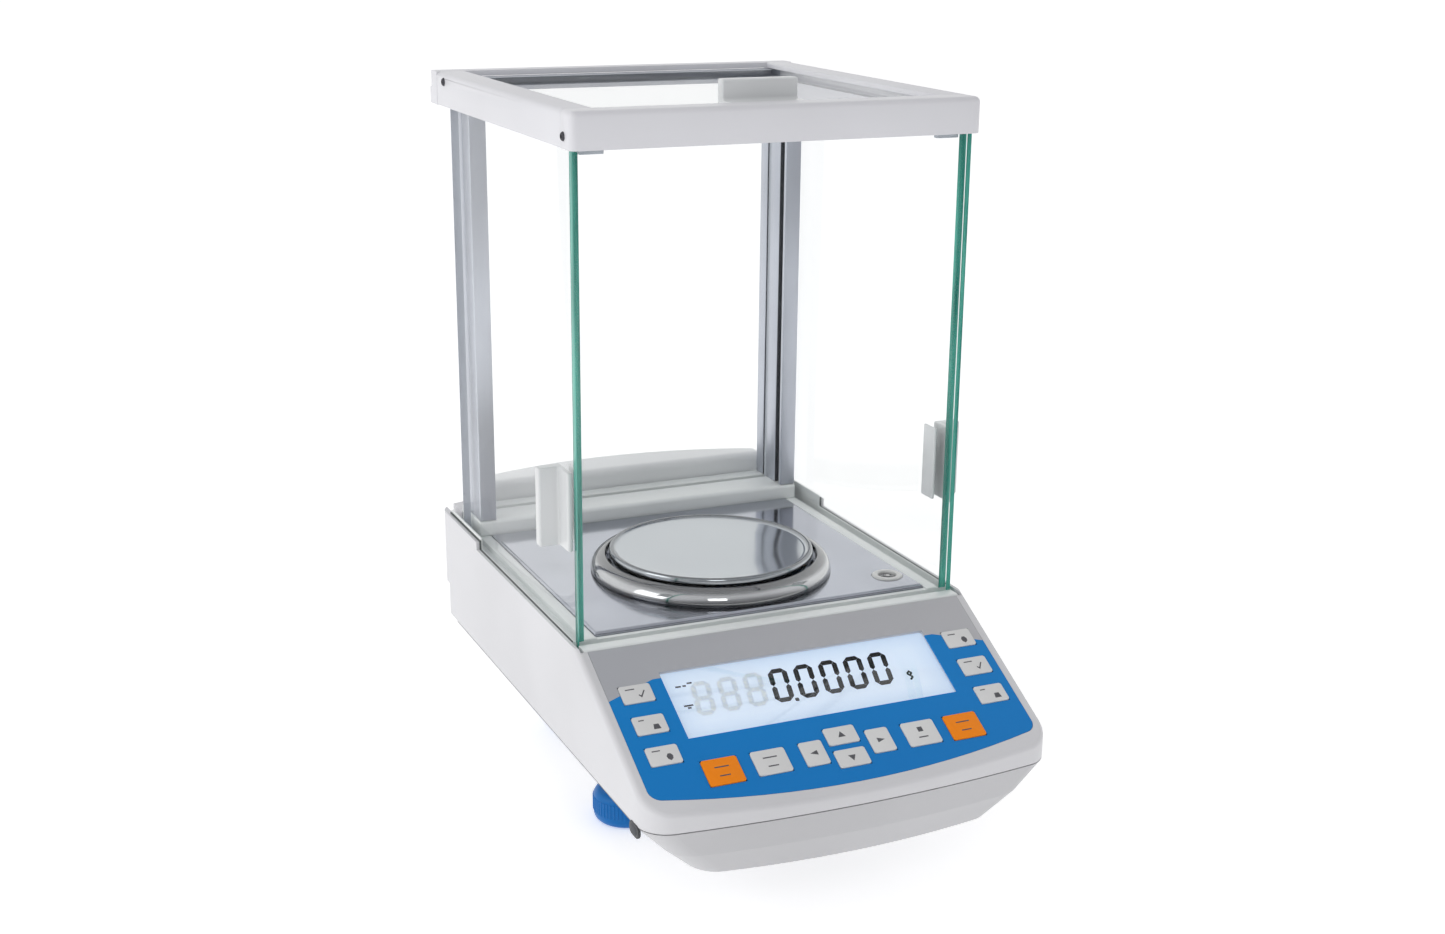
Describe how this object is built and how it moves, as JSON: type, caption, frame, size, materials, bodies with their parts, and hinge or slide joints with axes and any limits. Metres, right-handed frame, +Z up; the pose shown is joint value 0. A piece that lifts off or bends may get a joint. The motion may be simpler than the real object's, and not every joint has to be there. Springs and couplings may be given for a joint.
{
  "type": "analytical balance",
  "caption": "Analytical balance with a glass draft shield, sliding doors, round steel pan and sloped keypad display.",
  "frame": {"origin": "on the bench, under the middle of the balance's footprint box", "axes": "+Z up, +X the user's right, -Y towards the user"},
  "size_m": [0.2118, 0.32, 0.3525],
  "materials": {
    "housing_plastic": "fine satin moulded plastic",
    "rail_plastic": "satin moulded plastic, faintly green",
    "frame_grey": "satin paint",
    "handle_grey": "semi-gloss moulded plastic",
    "overlay_blue": "printed polyester film, blue with a grey band",
    "key_grey": "printed key caps",
    "key_orange": "printed key caps",
    "display_clear": "clear window",
    "display_pale": "backlit pale display",
    "circuit_board": "solder mask",
    "shield_glass": "float glass with green edges",
    "column_aluminium": "anodised extrusion",
    "stainless_floor": "polished stainless sheet",
    "stainless_pan": "polished stainless",
    "chrome_ring": "mirror polish",
    "cell_aluminium": "machined",
    "magnet_steel": "nickel plated",
    "weight_brass": "turned",
    "screw_steel": "zinc plated",
    "dark_plastic": "moulded",
    "black_plastic": "moulded",
    "socket_metal": "plated shells",
    "level_fluid": "dark level vial",
    "foot_blue": "semi-gloss moulded plastic"
  },
  "bodies": {
    "housing": {"upper_housing": "housing_plastic", "base_tray": "housing_plastic", "rear_hood": "housing_plastic", "power_inlet": "black_plastic", "data_sockets": "socket_metal", "keypad_overlay": "overlay_blue", "display_window": "display_clear", "display_module": "display_pale", "display_board": "circuit_board", "door_rail_left": "rail_plastic", "door_rail_right": "rail_plastic", "front_sill": "rail_plastic", "rear_ledge": "rail_plastic", "floor_plate": "stainless_floor", "level_housing": "housing_plastic", "level_vial": "level_fluid", "front_glass": "shield_glass", "rear_glass": "shield_glass", "column_left": "column_aluminium", "column_right": "column_aluminium", "top_rail_left": "frame_grey", "top_rail_right": "frame_grey", "top_rail_front": "frame_grey", "top_rail_rear": "frame_grey", "frame_screws": "screw_steel", "front_guides": "dark_plastic", "load_cell_frame": "cell_aluminium", "magnet_pot": "magnet_steel", "calibration_lifter": "dark_plastic", "main_board": "circuit_board"},
    "left_door": {"left_door_glass": "shield_glass", "left_door_handle": "handle_grey"},
    "right_door": {"right_door_glass": "shield_glass", "right_door_handle": "handle_grey"},
    "top_door": {"top_door_glass": "shield_glass", "top_door_handle": "handle_grey"},
    "pan": {"weighing_pan": "stainless_pan"},
    "ring": {"draft_ring": "chrome_ring"},
    "carrier": {"pan_carrier": "cell_aluminium"},
    "lever": {"balance_lever": "cell_aluminium"},
    "cal_weight": {"calibration_weight": "weight_brass"},
    "key_left_1_cap": {"key_left_1": "key_grey"},
    "key_left_2_cap": {"key_left_2": "key_grey"},
    "key_left_3_cap": {"key_left_3": "key_grey"},
    "key_right_1_cap": {"key_right_1": "key_grey"},
    "key_right_2_cap": {"key_right_2": "key_grey"},
    "key_right_3_cap": {"key_right_3": "key_grey"},
    "key_tare_left_cap": {"key_tare_left": "key_orange"},
    "key_mode_cap": {"key_mode": "key_grey"},
    "key_arrow_left_cap": {"key_arrow_left": "key_grey"},
    "key_arrow_up_cap": {"key_arrow_up": "key_grey"},
    "key_arrow_down_cap": {"key_arrow_down": "key_grey"},
    "key_arrow_right_cap": {"key_arrow_right": "key_grey"},
    "key_print_cap": {"key_print": "key_grey"},
    "key_tare_right_cap": {"key_tare_right": "key_orange"},
    "foot_front_left_screw": {"foot_front_left": "foot_blue"},
    "foot_front_right_screw": {"foot_front_right": "foot_blue"},
    "foot_rear_left_screw": {"foot_rear_left": "foot_blue"},
    "foot_rear_right_screw": {"foot_rear_right": "foot_blue"}
  },
  "joints": [
    {"name": "left_door_slide", "type": "slide", "parent": "housing", "child": "left_door", "axis": [0, 1, 0], "range_m": [0, 0.135]},
    {"name": "right_door_slide", "type": "slide", "parent": "housing", "child": "right_door", "axis": [0, 1, 0], "range_m": [0, 0.135]},
    {"name": "top_door_slide", "type": "slide", "parent": "housing", "child": "top_door", "axis": [0, 1, 0], "range_m": [0, 0.15]},
    {"name": "carrier_press", "type": "slide", "parent": "housing", "child": "carrier", "axis": [0, 0, 1], "range_m": [-0.0003, 0], "stiffness_N_per_m": 60000},
    {"name": "lever_tilt", "type": "hinge", "parent": "housing", "child": "lever", "pos_m": [0, 0.03, 0.072], "axis": [1, 0, 0], "range_deg": [0, 1.2]},
    {"name": "pan_lift", "type": "slide", "parent": "carrier", "child": "pan", "axis": [0, 0, 1], "range_m": [0, 0.08]},
    {"name": "ring_lift", "type": "slide", "parent": "housing", "child": "ring", "axis": [0, 0, 1], "range_m": [0, 0.08]},
    {"name": "calibration_lower", "type": "slide", "parent": "housing", "child": "cal_weight", "axis": [0, 0, 1], "range_m": [-0.002, 0]},
    {"name": "key_left_1_press", "type": "slide", "parent": "housing", "child": "key_left_1_cap", "axis": [0, 0.4602, -0.8878], "range_m": [0, 0.0005], "stiffness_N_per_m": 1500},
    {"name": "key_left_2_press", "type": "slide", "parent": "housing", "child": "key_left_2_cap", "axis": [0, 0.4602, -0.8878], "range_m": [0, 0.0005], "stiffness_N_per_m": 1500},
    {"name": "key_left_3_press", "type": "slide", "parent": "housing", "child": "key_left_3_cap", "axis": [0, 0.4602, -0.8878], "range_m": [0, 0.0005], "stiffness_N_per_m": 1500},
    {"name": "key_right_1_press", "type": "slide", "parent": "housing", "child": "key_right_1_cap", "axis": [0, 0.4602, -0.8878], "range_m": [0, 0.0005], "stiffness_N_per_m": 1500},
    {"name": "key_right_2_press", "type": "slide", "parent": "housing", "child": "key_right_2_cap", "axis": [0, 0.4602, -0.8878], "range_m": [0, 0.0005], "stiffness_N_per_m": 1500},
    {"name": "key_right_3_press", "type": "slide", "parent": "housing", "child": "key_right_3_cap", "axis": [0, 0.4602, -0.8878], "range_m": [0, 0.0005], "stiffness_N_per_m": 1500},
    {"name": "key_tare_left_press", "type": "slide", "parent": "housing", "child": "key_tare_left_cap", "axis": [0, 0.4602, -0.8878], "range_m": [0, 0.0005], "stiffness_N_per_m": 1500},
    {"name": "key_mode_press", "type": "slide", "parent": "housing", "child": "key_mode_cap", "axis": [0, 0.4602, -0.8878], "range_m": [0, 0.0005], "stiffness_N_per_m": 1500},
    {"name": "key_arrow_left_press", "type": "slide", "parent": "housing", "child": "key_arrow_left_cap", "axis": [0, 0.4602, -0.8878], "range_m": [0, 0.0005], "stiffness_N_per_m": 1500},
    {"name": "key_arrow_up_press", "type": "slide", "parent": "housing", "child": "key_arrow_up_cap", "axis": [0, 0.4602, -0.8878], "range_m": [0, 0.0005], "stiffness_N_per_m": 1500},
    {"name": "key_arrow_down_press", "type": "slide", "parent": "housing", "child": "key_arrow_down_cap", "axis": [0, 0.4602, -0.8878], "range_m": [0, 0.0005], "stiffness_N_per_m": 1500},
    {"name": "key_arrow_right_press", "type": "slide", "parent": "housing", "child": "key_arrow_right_cap", "axis": [0, 0.4602, -0.8878], "range_m": [0, 0.0005], "stiffness_N_per_m": 1500},
    {"name": "key_print_press", "type": "slide", "parent": "housing", "child": "key_print_cap", "axis": [0, 0.4602, -0.8878], "range_m": [0, 0.0005], "stiffness_N_per_m": 1500},
    {"name": "key_tare_right_press", "type": "slide", "parent": "housing", "child": "key_tare_right_cap", "axis": [0, 0.4602, -0.8878], "range_m": [0, 0.0005], "stiffness_N_per_m": 1500},
    {"name": "foot_front_left_level", "type": "slide", "parent": "housing", "child": "foot_front_left_screw", "axis": [0, 0, 1], "range_m": [-0.0025, 0.0025]},
    {"name": "foot_front_right_level", "type": "slide", "parent": "housing", "child": "foot_front_right_screw", "axis": [0, 0, 1], "range_m": [-0.0025, 0.0025]},
    {"name": "foot_rear_left_level", "type": "slide", "parent": "housing", "child": "foot_rear_left_screw", "axis": [0, 0, 1], "range_m": [-0.0025, 0.0025]},
    {"name": "foot_rear_right_level", "type": "slide", "parent": "housing", "child": "foot_rear_right_screw", "axis": [0, 0, 1], "range_m": [-0.0025, 0.0025]}
  ],
  "couplings": [
    {"joint": "lever_tilt", "follows": "carrier_press", "rad_per_m": -66}
  ]
}
